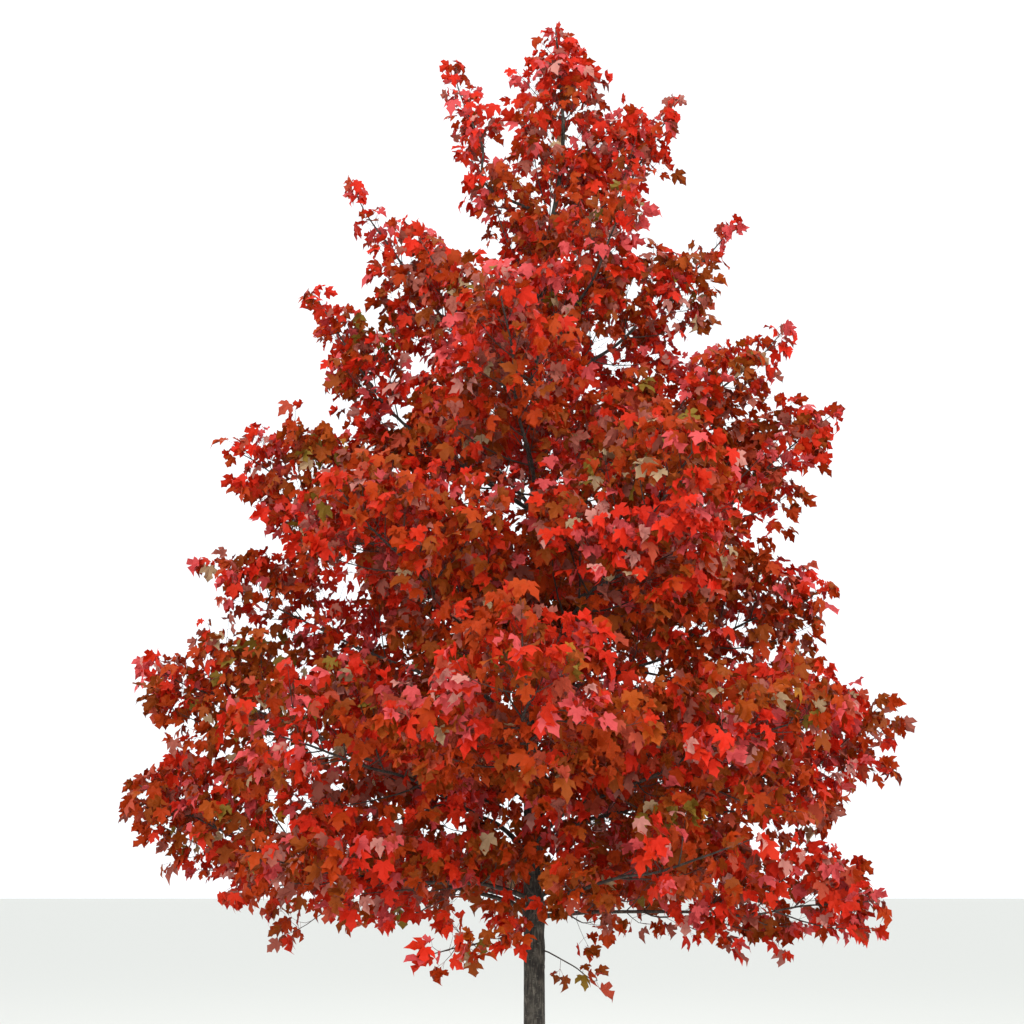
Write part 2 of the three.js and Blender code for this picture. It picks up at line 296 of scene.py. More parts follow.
@dataclass(frozen=True)
class BarkFinish:
    """Young maple bark, grown in thin plates: dark grey-brown and dull, with pores and upright cracks.

    It has no gleam. The cracks stay dark, and the pores and the worn ridges are paler. Real cracks and
    pores are a few millimetres across, too fine to show on a whole tree, so they are drawn coarser.
    """

    name: str
    dark: int
    middle: int
    pale: int
    crack_mm: float
    mottle_mm: float
    pore_mm: float
    bump_mm: float = 1.2
    crack_roughness: float = 0.96
    ridge_roughness: float = 0.78
    ior: float = 1.46
    crack_detail: float = 5.0
    crack_breakup: float = 0.6
    crack_waver: float = 0.4
    crack_stretch: float = 0.16
    mottle_detail: float = 4.0
    mottle_breakup: float = 0.55
    mottle_share: float = 0.45
    pore_squash: float = 3.2
    dark_at: float = 0.38
    middle_at: float = 0.5
    pale_at: float = 0.64
    pore_edge: tuple[float, float] = (0.08, 0.24)
    pore_paleness: float = 0.85
    bump_strength: float = 0.7

    def patterns(self, tree: bpy.types.NodeTree) -> tuple[bpy.types.NodeSocket, ...]:
        """Adds the bark's three patterns, on Object coordinates.

        Args:
            tree: The material's node tree.

        Returns:
            The outputs of the upright cracks, of the mottling and of the pores, which are broader than tall.
        """
        place = add_node(tree, "ShaderNodeTexCoord").outputs["Object"]
        upright = add_node(tree, "ShaderNodeMapping", {"Vector": place, "Scale": (1, 1, self.crack_stretch)})
        level = add_node(tree, "ShaderNodeMapping", {"Vector": place, "Scale": (1, 1, self.pore_squash)})
        cracks = add_node(
            tree,
            "ShaderNodeTexNoise",
            {
                "Vector": upright.outputs[0],
                "Scale": 1 / (self.crack_mm * MM),
                "Detail": self.crack_detail,
                "Roughness": self.crack_breakup,
                "Distortion": self.crack_waver,
            },
        )
        mottle = add_node(
            tree,
            "ShaderNodeTexNoise",
            {
                "Vector": place,
                "Scale": 1 / (self.mottle_mm * MM),
                "Detail": self.mottle_detail,
                "Roughness": self.mottle_breakup,
            },
        )
        pores = add_node(
            tree,
            "ShaderNodeTexVoronoi",
            {"Vector": level.outputs[0], "Scale": 1 / (self.pore_mm * MM), "Randomness": 1.0},
        )
        near, far = self.pore_edge
        spots = add_node(
            tree,
            "ShaderNodeMapRange",
            {
                "Value": pores.outputs["Distance"],
                "From Min": near,
                "From Max": far,
                "To Min": self.pore_paleness,
                "To Max": 0.0,
            },
        )
        return cracks.outputs["Fac"], mottle.outputs["Fac"], spots.outputs[0]

    def material(self) -> bpy.types.Material:
        """Builds the bark's material.

        Returns:
            The material, darkest in its cracks and palest on its pores.
        """
        made = bpy.data.materials.new(self.name)
        made.use_nodes = True
        tree = made.node_tree
        tree.nodes.clear()
        cracks, mottle, spots = self.patterns(tree)
        shade = add_node(
            tree, "ShaderNodeMix", {0: self.mottle_share, 2: cracks, 3: mottle}, data_type="FLOAT"
        ).outputs[0]
        colour = add_node(tree, "ShaderNodeValToRGB", {"Fac": shade})
        stops = colour.color_ramp.elements
        stops[0].position = self.dark_at
        stops[0].color = linear_colour(self.dark)
        stops[1].position = self.pale_at
        stops[1].color = linear_colour(self.pale)
        stops.new(self.middle_at).color = linear_colour(self.middle)
        speckled = add_node(
            tree,
            "ShaderNodeMix",
            {0: spots, 6: colour.outputs["Color"], 7: linear_colour(self.pale)},
            data_type="RGBA",
        ).outputs[2]
        height = add_node(tree, "ShaderNodeMath", {0: cracks, 1: spots}, operation="ADD").outputs[0]
        bump = add_node(
            tree,
            "ShaderNodeBump",
            {"Height": height, "Strength": self.bump_strength, "Distance": self.bump_mm * MM},
        ).outputs[0]
        rough = add_node(
            tree,
            "ShaderNodeMapRange",
            {"Value": cracks, "To Min": self.crack_roughness, "To Max": self.ridge_roughness},
        ).outputs[0]
        surface = add_node(
            tree,
            "ShaderNodeBsdfPrincipled",
            {"Base Color": speckled, "Roughness": rough, "IOR": self.ior, "Normal": bump},
        ).outputs[0]
        add_node(tree, "ShaderNodeOutputMaterial", {"Surface": surface})
        return made


@dataclass(frozen=True)
class PlainFinish:
    """The finish of a thing too thin or too small to show a pattern: one base colour and its own gloss."""

    name: str
    colour: int
    roughness: float
    ior: float = 1.45
    specular: float = 0.5

    def material(self) -> bpy.types.Material:
        """Builds the material, with constants on the shader's own sockets.

        Returns:
            The material.
        """
        made = bpy.data.materials.new(self.name)
        made.use_nodes = True
        surface = made.node_tree.nodes["Principled BSDF"].inputs
        surface["Base Color"].default_value = linear_colour(self.colour)
        surface["Roughness"].default_value = self.roughness
        surface["IOR"].default_value = self.ior
        surface["Specular IOR Level"].default_value = self.specular
        return made


class Tint(Enum):
    """The autumn colours of a red maple's leaves, as sRGB. Two pinks among them also have a painted sheen
    mixed in.
    """

    SCARLET = 0xCC2814
    # This pink is partly real leaf colour and partly a painted sheen: the pale gleam of the sky on the
    # leaves' waxy upper sides.
    CHERRY = 0xCA4C4C
    CRIMSON = 0xC0280E
    BRICK = 0xAC442E
    RUSSET = 0xA83A0E
    MAROON = 0xA83408
    DUSKY = 0x9A5244
    UMBER = 0x8C3E0E
    RUST = 0xA4460E
    AMBER = 0xA8681C
    OLIVE = 0x806422
    # This pale pink is partly real leaf colour and partly the same painted sheen of the sky on the leaves'
    # upper sides.
    ROSE = 0xC48074
    FAWN = 0xAC8E6C

    def material(self) -> bpy.types.Material:
        """Builds the leaf material: a drying leaf's thin skin keeps only a faint, broad gloss."""
        name = f"autumn_leaf_{self.name.lower()}"
        return PlainFinish(name, self.value, roughness=0.55, ior=1.42, specular=0.14).material()


class Spray(Enum):
    """How the leaves of one spray are coloured: the weight of each tint among them."""

    BRIGHT = {Tint.SCARLET: 5, Tint.CHERRY: 4.5, Tint.CRIMSON: 3, Tint.BRICK: 1, Tint.ROSE: 1.5}
    DEEP = {
        Tint.CRIMSON: 5, Tint.MAROON: 3, Tint.SCARLET: 2, Tint.DUSKY: 2, Tint.CHERRY: 1.5, Tint.RUSSET: 0.8
    }
    DARK = {
        Tint.MAROON: 5, Tint.DUSKY: 2.5, Tint.CRIMSON: 2, Tint.UMBER: 3.5, Tint.FAWN: 0.3, Tint.RUSSET: 1
    }
    RUSTY = {
        Tint.RUSSET: 5, Tint.BRICK: 2.5, Tint.MAROON: 3, Tint.UMBER: 3.5, Tint.CRIMSON: 1.5, Tint.RUST: 1
    }
    BRONZE = {
        Tint.OLIVE: 1.8, Tint.RUST: 2, Tint.UMBER: 4, Tint.FAWN: 0.7, Tint.AMBER: 0.3, Tint.RUSSET: 2.5
    }


@dataclass(frozen=True)
class Chance:
    """How often a colouring is dealt to a spray, and how that changes with the spray's place."""

    base: float
    outwards: float
    upwards: float

    def at(self, share: float, height: float) -> float:
        """Weighs the colouring for a share of the way out along a limb and of the way up the tree."""
        return self.base + self.outwards * share + self.upwards * height


# Sprays out at the tips and at the top are dealt the brighter tints, and those inside and lower down the
# darker, rustier ones. This is partly real, as sunlit red maple leaves redden most and shaded ones turn
# rusty first, and partly painted light: the bright tints stand in for the glow of light through the outer
# leaves, and the dark ones are painted shade deep and low in the crown.
CHANCES = {
    Spray.BRIGHT: Chance(base=0.10, outwards=0.18, upwards=0.14),
    Spray.DEEP: Chance(base=0.12, outwards=0.08, upwards=0.32),
    Spray.DARK: Chance(base=0.40, outwards=-0.06, upwards=-0.16),
    Spray.RUSTY: Chance(base=0.38, outwards=-0.14, upwards=-0.22),
    Spray.BRONZE: Chance(base=0.19, outwards=0.0, upwards=-0.18),
}

# The trunk's bark has begun to crack into plates. The limbs' is younger, smoother and warmer.
BARK = BarkFinish("young_maple_bark", 0x1F1D1A, 0x3A3630, 0x6C675C, crack_mm=10, mottle_mm=50, pore_mm=30)
LIMB_BARK = BarkFinish(
    "smooth_limb_bark", 0x26211D, 0x403833, 0x665D54, crack_mm=5, mottle_mm=35, pore_mm=14, bump_mm=0.6
)
# This year's growth still has its thin, smooth skin, which is redder and glossier the younger it is.
SHOOT_BARK = PlainFinish("shoot_bark_grey_brown", 0x43362F, roughness=0.75)
TWIG_BARK = PlainFinish("twig_bark_red_brown", 0x5A332C, roughness=0.6)
LEAF_STALK = PlainFinish("leaf_stalk_red", 0x96302C, roughness=0.5)
# The studio's floor is rolled with matt paint, which gives no reflection.
FLOOR_PAINT = PlainFinish("pale_matt_floor", 0xD9D8D2, roughness=0.95)


# ---------------------------------------------------------------------------------- the frame


@dataclass
class Solid:
    """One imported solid, read as triangles."""

    name: str
    triangles: np.ndarray = field(init=False)
    corners: np.ndarray = field(init=False)
    tree: BVHTree = field(init=False)

    def __post_init__(self) -> None:
        """Reads the node's mesh."""
        mesh = frame["nodes"][self.name].data
        mesh.calc_loop_triangles()
        places = np.empty(len(mesh.vertices) * 3, np.float32)
        mesh.vertices.foreach_get("co", places)
        places = places.reshape(-1, 3).astype(float)
        numbers = np.empty(len(mesh.loop_triangles) * 3, np.int32)
        mesh.loop_triangles.foreach_get("vertices", numbers)
        self.triangles = places[numbers].reshape(-1, 3, 3)
        self.corners = np.unique(places.round(5), axis=0)
        self.tree = BVHTree.FromPolygons(places.tolist(), numbers.reshape(-1, 3).tolist())

    def cut(self, point: np.ndarray, normal: np.ndarray) -> np.ndarray:
        """Cuts the solid with a plane.

        Args:
            point: A point on the plane.
            normal: The plane's normal.

        Returns:
            The two ends of each straight piece of the cut's outline.
        """
        ends = np.roll(self.triangles, -1, axis=1)
        here = (self.triangles - point) @ normal
        there = np.roll(here, -1, axis=1)
        crossed = here * there < 0
        whole = crossed.sum(axis=1) == 2
        share = here / np.where(crossed, here - there, 1)
        places = self.triangles + share[..., None] * (ends - self.triangles)
        return places[whole][crossed[whole]].reshape(-1, 2, 3)

    def middle(self, point: np.ndarray, normal: np.ndarray) -> tuple[np.ndarray, float] | None:
        """Finds the middle of a cut.

        Args:
            point: A point on the plane.
            normal: The plane's normal.

        Returns:
            The middle of the cut's outline and its mean radius, or None where the plane misses the solid.
        """
        pieces = self.cut(point, normal)
        if len(pieces) < 3:
            return None
        lengths = np.linalg.norm(pieces[:, 1] - pieces[:, 0], axis=1)
        middles = pieces.mean(axis=1)
        centre = np.average(middles, axis=0, weights=lengths)
        radius = np.average(np.linalg.norm(middles - centre, axis=1), weights=lengths)
        return centre, float(radius)

    def room(self, start: np.ndarray, heading: np.ndarray) -> float:
        """Measures how far a stem may run before it leaves the solid.

        Args:
            start: Where the stem starts, inside the solid or beside it.
            heading: The stem's direction.

        Returns:
            The distance to where the line leaves the solid for good, or 0 if it doesn't meet it.
        """
        most_walls = 6
        place = Vector(start)
        direction = Vector(heading)
        gone = 0.0
        out = 0.0
        for _ in range(most_walls):
            _, normal, _, distance = self.tree.ray_cast(place, direction)
            if normal is None:
                break
            gone += distance
            if normal.dot(direction) > 0:
                out = gone
            place = place + direction * (distance + MM)
            gone += MM
        return out


@dataclass
class Leader:
    """The trunk's middle line and its outline at each height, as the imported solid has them."""

    solid: Solid = field(default_factory=lambda: Solid("trunk"))
    bearings: int = 72
    first_cut: float = 3 * MM
    flare_top: float = 0.6
    flare_gap: float = 0.025
    gap: float = 0.08
    uncut_tip: float = 0.02
    top: float = field(init=False)
    angles: np.ndarray = field(init=False)
    levels: np.ndarray = field(init=False)
    centres: np.ndarray = field(init=False)
    radii: np.ndarray = field(init=False)

    def __post_init__(self) -> None:
        """Slices the solid, closely in the root flare and further apart above it."""
        self.top = float(self.solid.corners[:, 2].max())
        in_flare = np.arange(self.first_cut, self.flare_top, self.flare_gap)
        above = np.arange(self.flare_top, self.top - self.uncut_tip, self.gap)
        self.angles = np.linspace(-math.pi, math.pi, self.bearings, endpoint=False)
        levels, centres, radii = [], [], []
        for height in (*in_flare, *above):
            pieces = self.solid.cut(np.array((0, 0, height)), UP)
            if len(pieces) < 3:
                continue
            lengths = np.linalg.norm(pieces[:, 1] - pieces[:, 0], axis=1)
            centre = np.average(pieces.mean(axis=1), axis=0, weights=lengths)
            spokes = pieces.reshape(-1, 3)[:, :2] - centre[:2]
            turned = np.arctan2(spokes[:, 1], spokes[:, 0])
            order = np.argsort(turned)
            away = np.linalg.norm(spokes, axis=1)[order]
            levels.append(height)
            centres.append(centre[:2])
            radii.append(np.interp(self.angles, turned[order], away, period=2 * math.pi))
        self.levels = np.array(levels)
        self.centres = np.array(centres)
        self.radii = np.array(radii)

    def at(self, height: float) -> np.ndarray:
        """Gives the middle of the leader at a height."""
        x, y = (np.interp(height, self.levels, self.centres[:, axis]) for axis in (0, 1))
        return np.array((x, y, height))

    def line(self, start: float, end: float, step: float) -> np.ndarray:
        """Gives points up the middle of the leader, from one height towards another."""
        return np.array([self.at(height) for height in np.arange(start, end, step)])

    def outline(self, height: float) -> np.ndarray:
        """Gives the leader's outline at a height.

        Args:
            height: The height above the ground.

        Returns:
            The radius at each of the leader's bearings.
        """
        place = np.interp(height, self.levels, np.arange(len(self.levels)))
        below = int(place)
        above = min(below + 1, len(self.levels) - 1)
        return self.radii[below] + (place - below) * (self.radii[above] - self.radii[below])

    def away(self, points: np.ndarray) -> np.ndarray:
        """Measures how far points are from the leader.

        Args:
            points: The points, one in each row.

        Returns:
            Each one's distance from the leader's middle, level with it.
        """
        middles = [np.interp(points[:, 2], self.levels, self.centres[:, axis]) for axis in (0, 1)]
        return np.linalg.norm(points[:, :2] - np.column_stack(middles), axis=1)


@dataclass
class Stem:
    """A limb, shoot or twig: its middle line and its radius at each point."""

    points: np.ndarray
    radii: np.ndarray
    along: np.ndarray = field(init=False)
    length: float = field(init=False)

    def __post_init__(self) -> None:
        """Measures the line."""
        steps = np.linalg.norm(np.diff(self.points, axis=0), axis=1)
        self.along = np.concatenate(([0.0], np.cumsum(steps)))
        self.length = float(self.along[-1])

    def at(self, distance: float) -> tuple[np.ndarray, np.ndarray]:
        """Finds a place on the stem.

        Args:
            distance: How far along the stem it is.

        Returns:
            The point there, and the direction in which the stem runs there.
        """
        point = np.array([np.interp(distance, self.along, self.points[:, axis]) for axis in range(3)])
        after = int(np.clip(np.searchsorted(self.along, distance), 1, len(self.points) - 1))
        return point, unit(self.points[after] - self.points[after - 1])


@dataclass
class Limb:
    """One main limb: the bough that the frame has, if it has one, and its run through its mass."""

    mass: Solid
    bough: Solid | None
    leader: Leader
    tip_radius: float = 2.2 * MM
    tip_cover: float = 0.07
    foot_radius: float = 6.5 * MM
    foot_radius_per_metre: float = 3.5 * MM
    foot_swell: float = 1.15
    taper: float = 0.8
    point_gap: float = 0.03
    leader_point_gap: float = 0.04
    leader_foot: float = 0.05
    leader_tip_cover: float = 0.01
    bare_share: float = 0.12
    rise_counts: float = 0.45
    nearest_part: float = 0.25
    foot_rise: float = 0.1
    end_size: float = 0.05
    foot_size: float = 0.03
    mass_slices: tuple[float, ...] = (0.3, 0.5, 0.7, 0.86)
    bough_slices: tuple[float, ...] = (0.3, 0.5, 0.7, 0.94)
    stem: Stem = field(init=False)
    start_of_mass: float = field(init=False)

    def __post_init__(self) -> None:
        """Reads the limb's line, which for the top mass is the leader's own."""
        if self.mass.name == TOP_MASS:
            foot = float(self.mass.corners[:, 2].min()) + self.leader_foot
            tip = self.leader.top - self.leader_tip_cover
            line = self.leader.line(foot, tip, self.leader_point_gap)
            self.stem = Stem(line, np.full(len(line), self.tip_radius))
            self.start_of_mass = 0.0
        else:
            self.read_side_limb()

    def read_side_limb(self) -> None:
        """Reads the line from the leader through the bough and the mass to the mass's outer, upper tip."""
        corners = self.mass.corners
        away = self.leader.away(corners)
        tip = corners[np.argmax(away + self.rise_counts * corners[:, 2])]
        if self.bough is not None:
            knots, radii = self.bough_line()
        else:
            near = corners[away < np.quantile(away, self.nearest_part)]
            foot = self.leader.at(float(near[:, 2].min()) + self.foot_rise)
            reach = float(np.linalg.norm(tip - foot))
            knots, radii = [foot], [self.foot_radius + self.foot_radius_per_metre * reach]
        count = len(knots)
        knots += self.middles(self.mass, knots[-1], tip, self.mass_slices)[0]
        knots.append(tip - unit(tip - knots[count - 1]) * self.tip_cover)
        line = smooth_line(np.array(knots), self.point_gap)
        measured = Stem(line, np.ones(len(line)))
        nearest = [np.argmin(np.linalg.norm(line - knot, axis=1)) for knot in knots[:count]]
        known = measured.along[nearest]
        inner = np.interp(measured.along, known, radii)
        run_out = np.clip((measured.along - known[-1]) / (measured.length - known[-1]), 0, 1)
        girth = inner * (1 - run_out) ** self.taper + self.tip_radius * run_out
        self.stem = Stem(line, girth)
        self.start_of_mass = float(known[-1]) if count > 1 else self.bare_share * measured.length

    def bough_line(self) -> tuple[list[np.ndarray], list[float]]:
        """Slices the bough from the leader out to its end.

        Returns:
            Points on its middle line, the first of them inside the leader, and its radius at each.
        """
        corners = self.bough.corners
        away = self.leader.away(corners)
        far = corners[np.argmax(away)]
        end = corners[np.linalg.norm(corners - far, axis=1) < self.end_size].mean(axis=0)
        near = corners[away < away.min() + self.foot_size].mean(axis=0)
        foot = self.leader.at(float(near[2]))
        knots, radii = self.middles(self.bough, foot, end, self.bough_slices)
        return [foot, *knots], [radii[0] * self.foot_swell, *radii]

    def middles(
        self, solid: Solid, start: np.ndarray, end: np.ndarray, shares: tuple[float, ...]
    ) -> tuple[list[np.ndarray], list[float]]:
        """Slices a solid at a few places between two points.

        Args:
            solid: The solid.
            start: The first point.
            end: The last point.
            shares: How far from the first point to the last each slice is.

        Returns:
            The middle of each slice that meets the solid, and its mean radius.
        """
        chord = end - start
        found = [solid.middle(start + chord * share, unit(chord)) for share in shares]
        met = [cut for cut in found if cut is not None]
        return [centre for centre, _ in met], [radius for _, radius in met]


# ---------------------------------------------------------------------------------- branching


@dataclass(frozen=True)
class Order:
    """How one order of stems, or of leaves, grows in pairs from the order before it.

    The pairs are `spacing` apart and stand off at `spread` degrees. `bare` is the foot of the stem that
    bears none, as a share of a shoot and in metres on a limb. `reach` is the share of its room that a stem
    takes, `rise` is how strongly it turns up to the light, and `missing` is the share of buds that never
    grew.
    """

    spacing: float
    spread: float
    bare: float = 0.0
    reach: float = 1.0
    longest: float = 0.0
    shortest: float = 0.0
    rise: float = 0.0
    missing: float = 0.0


SHOOTS = Order(spacing=0.115, spread=52, longest=0.85, shortest=0.09, rise=0.6, missing=0.08)
TWIGS = Order(
    spacing=0.092, spread=46, bare=0.15, reach=0.95, longest=0.3, shortest=0.06, rise=0.5, missing=0.15
)
INNER = Order(spacing=0.1, spread=60, bare=0.1, longest=0.5, shortest=0.1, rise=0.5, missing=0.25)
LEAVES = Order(spacing=0.052, spread=58)

# More of the buds are missing where the crown is thin, and one limb has a row of draws that fills it well.
THINNER = {
    "crest_foliage_left": 0.1,
    "middle_foliage_left": 0.2,
    "middle_foliage_low_left": 0.15,
    "lower_foliage_left": 0.15,
    "skirt_foliage_front": 0.1,
    "skirt_foliage_front_right": 0.3,
}
RESOWN = {"shoulder_foliage_right": 2022}


@dataclass
class Growth:
    """Everything that one seeded branching rule grows in the crown.

    The stray numbers and the swings are how far one bud, stem or leaf differs from the next. A bud that
    points down droops less than its spread would have it, by `bud_droop`.
    """

    leader: Leader
    leaf_room: float = 0.06
    lost_leaves: float = 0.12
    shaded_leaves: float = 0.65
    tip_leaf_spread: float = 0.7
    third_tip_leaf: float = 0.6
    bare_tip: float = 0.03
    first_gap: tuple[float, float] = (0.2, 0.9)
    gap_swing: tuple[float, float] = (0.75, 1.3)
    turn_stray: float = 0.2
    bearing_stray: float = 0.25
    spread_stray: float = 7
    bud_droop: float = 0.7
    steepest_down: float = -0.55
    upward_reach: float = 0.3
    length_swing: tuple[float, float] = (0.55, 1.2)
    inner_swing: tuple[float, float] = (0.4, 1.0)
    inner_share: float = 0.1
    leafless_twig: float = 0.35
    leafless_shoot: float = 0.75
    tip_points: int = 4
    step: float = 0.07
    wander: float = 0.07
    short_length: float = 0.05
    shoot_tip: float = 1.3 * MM
    twig_foot: float = 1.5 * MM
    twig_tip: float = 0.9 * MM
    thickening: float = 6.2 * MM
    random: np.random.Generator = field(init=False)
    shoots: list[Stem] = field(default_factory=list)
    twigs: list[Stem] = field(default_factory=list)
    leaf_feet: list[np.ndarray] = field(default_factory=list)
    leaf_headings: list[np.ndarray] = field(default_factory=list)
    leaf_sprays: list[int] = field(default_factory=list)
    spray_places: list[tuple[float, float]] = field(default_factory=list)

    def seed(self, number: int) -> None:
        """Starts a limb's own row of draws, so that no limb's growth changes another's."""
        self.random = np.random.default_rng((SEED, number))

    def pairs(
        self, stem: Stem, order: Order, first: float
    ) -> Iterator[tuple[np.ndarray, list[np.ndarray], float]]:
        """Walks along a stem from one pair of buds to the next, each pair square to the last.

        Args:
            stem: The stem that carries the buds.
            order: The order of stems that the buds grow into.
            first: Where the first pair may be.

        Yields:
            The node's place, the directions of its two buds, and the share of the stem behind it.
        """
        distance = first + order.spacing * self.random.uniform(*self.first_gap)
        turn = self.random.uniform(0, math.pi)
        while distance < stem.length - self.bare_tip:
            place, heading = stem.at(distance)
            side, over = ring_axes(heading)
            headings = []
            for half in (0, math.pi):
                bearing = turn + half + self.random.normal(0, self.bearing_stray)
                outwards = math.cos(bearing) * side + math.sin(bearing) * over
                spread = math.radians(order.spread + self.random.normal(0, self.spread_stray))
                bud = unit(math.cos(spread) * heading + math.sin(spread) * outwards)
                bud[2] = max(bud[2], self.bud_droop * bud[2])
                headings.append(unit(bud))
            yield place, headings, distance / stem.length
            turn += math.pi / 2 + self.random.normal(0, self.turn_stray)
            distance += order.spacing * self.random.uniform(*self.gap_swing)

    def stem_line(self, start: np.ndarray, heading: np.ndarray, length: float, rise: float) -> np.ndarray:
        """Draws a stem that leaves along its heading and turns towards the light.

        Args:
            start: The stem's foot.
            heading: The direction in which it leaves.
            length: Its length.
            rise: How strongly it turns up.

        Returns:
            The points of its middle line.
        """
        steps = max(2, round(length / self.step))
        points = [start]
        for _ in range(steps):
            heading = unit(heading + UP * rise / steps + self.random.normal(0, self.wander, 3))
            points.append(points[-1] + heading * length / steps)
        return np.array(points)

    def length_of(self, mass: Solid | None, start: np.ndarray, heading: np.ndarray, order: Order) -> float:
        """Finds how long a stem grows: what its mass has room for, and more upwards than downwards.

        Args:
            mass: The mass that the stem grows in, or None on the bare inner part of a limb.
            start: The stem's foot.
            heading: The direction in which it leaves.
            order: The order that it belongs to.

        Returns:
            The length, which keeps the stem inside the frame's box.
        """
        if mass is None:
            return order.longest * self.random.uniform(*self.inner_swing)
        bent = unit(heading + UP * order.rise / 2)
        room = mass.room(start, bent) * (1 + self.upward_reach * float(bent[2])) - self.leaf_room
        length = min(order.longest, room * order.reach) * self.random.uniform(*self.length_swing)
        walls = np.where(bent > 0, CAD_BOX[1], CAD_BOX[0])
        return min(length, float(np.min((walls - start) / np.where(bent == 0, TINY, bent))))

    def new_spray(self, share: float, place: np.ndarray) -> int:
        """Starts a spray: notes how far out on its limb and how high it is, and gives its number."""
        self.spray_places.append((share, float(place[2]) / self.leader.top))
        return len(self.spray_places) - 1

    def add_leaf(self, place: np.ndarray, heading: np.ndarray, spray: int) -> None:
        """Sets one leaf's foot.

        Args:
            place: Where its stalk leaves the stem.
            heading: The direction in which it leaves.
            spray: The number of the spray that it belongs to.
        """
        self.leaf_feet.append(place)
        self.leaf_headings.append(heading)
        self.leaf_sprays.append(spray)

    def add_leaves(self, stem: Stem, spray: int, first: float) -> None:
        """Sets pairs of leaves along a stem, fewer of them in the shade, and a tuft of them at its tip.

        Args:
            stem: The stem.
            spray: The number of the spray that it belongs to.
            first: Where on the stem the first pair may be.
        """
        shade = 1 - self.spray_places[spray][0]
        lost = self.lost_leaves + self.shaded_leaves * shade**2
        for place, headings, _ in self.pairs(stem, LEAVES, first):
            for heading in headings:
                if self.random.random() > lost:
                    self.add_leaf(place, heading, spray)
        place, heading = stem.at(stem.length)
        side, over = ring_axes(heading)
        turn = self.random.uniform(0, math.pi)
        for half in (0, math.pi):
            outwards = math.cos(turn + half) * side + math.sin(turn + half) * over
            self.add_leaf(place, unit(heading + self.tip_leaf_spread * outwards), spray)
        if self.random.random() < self.third_tip_leaf:
            self.add_leaf(place, heading, spray)

    def grow_shoot(self, mass: Solid | None, line: np.ndarray, length: float, spray: int) -> None:
        """Grows one shoot with its twigs and leaves, which make a spray.

        Args:
            mass: The mass that the shoot grows in, or None on the bare inner part of a limb.
            line: The shoot's middle line.
            length: The shoot's length.
            spray: The number of its spray.
        """
        foot = self.twig_foot + self.thickening * length
        shoot = Stem(line, np.linspace(foot, self.shoot_tip, len(line)))
        self.shoots.append(shoot)
        for place, headings, share in self.pairs(shoot, TWIGS, TWIGS.bare * length):
            for heading in headings:
                if self.random.random() < TWIGS.missing:
                    continue
                left = (1 - share) * length + self.short_length
                twig_length = min(self.length_of(mass, place, heading, TWIGS), left)
                if twig_length < TWIGS.shortest:
                    self.add_leaf(place, heading, spray)
                    continue
                twig_line = self.stem_line(place, heading, twig_length, TWIGS.rise)
                twig = Stem(twig_line, np.linspace(self.twig_foot, self.twig_tip, len(twig_line)))
                self.twigs.append(twig)
                self.add_leaves(twig, spray, self.leafless_twig * twig_length)
        self.add_leaves(shoot, spray, self.leafless_shoot * length)

    def grow(self, limb: Limb) -> None:
        """Grows the shoots, twigs and leaves of one limb in its mass.

        Args:
            limb: The limb.
        """
        missing = SHOOTS.missing + THINNER.get(limb.mass.name, 0.0)
        for place, headings, share in self.pairs(limb.stem, SHOOTS, limb.start_of_mass):
            for heading in headings:
                if self.random.random() < missing:
                    continue
                spray = self.new_spray(share, place)
                length = self.length_of(limb.mass, place, heading, SHOOTS)
                if length < SHOOTS.shortest:
                    line = self.stem_line(place, heading, self.short_length, SHOOTS.rise)
                    short = Stem(line, np.full(len(line), self.shoot_tip))
                    self.twigs.append(short)
                    self.add_leaves(short, spray, short.length)
                    continue
                line = self.stem_line(place, heading, length, SHOOTS.rise)
                self.grow_shoot(limb.mass, line, length, spray)
        tip = Stem(limb.stem.points[-self.tip_points :], limb.stem.radii[-self.tip_points :])
        self.add_leaves(tip, self.new_spray(1.0, tip.points[-1]), 0.0)

    def grow_inside(self, stem: Stem, end: float) -> None:
        """Grows leafy shoots on the inner part of a limb or of the leader, which no mass covers.

        Args:
            stem: The limb.
            end: How far along it these shoots go.
        """
        for place, headings, share in self.pairs(stem, INNER, INNER.bare):
            if share * stem.length > end:
                return
            for heading in headings:
                if self.random.random() < INNER.missing or heading[2] < self.steepest_down:
                    continue
                length = self.random.uniform(INNER.shortest, INNER.longest)
                line = self.stem_line(place, heading, length, INNER.rise)
                self.grow_shoot(None, line, length, self.new_spray(self.inner_share, place))


# ---------------------------------------------------------------------------------- pieces


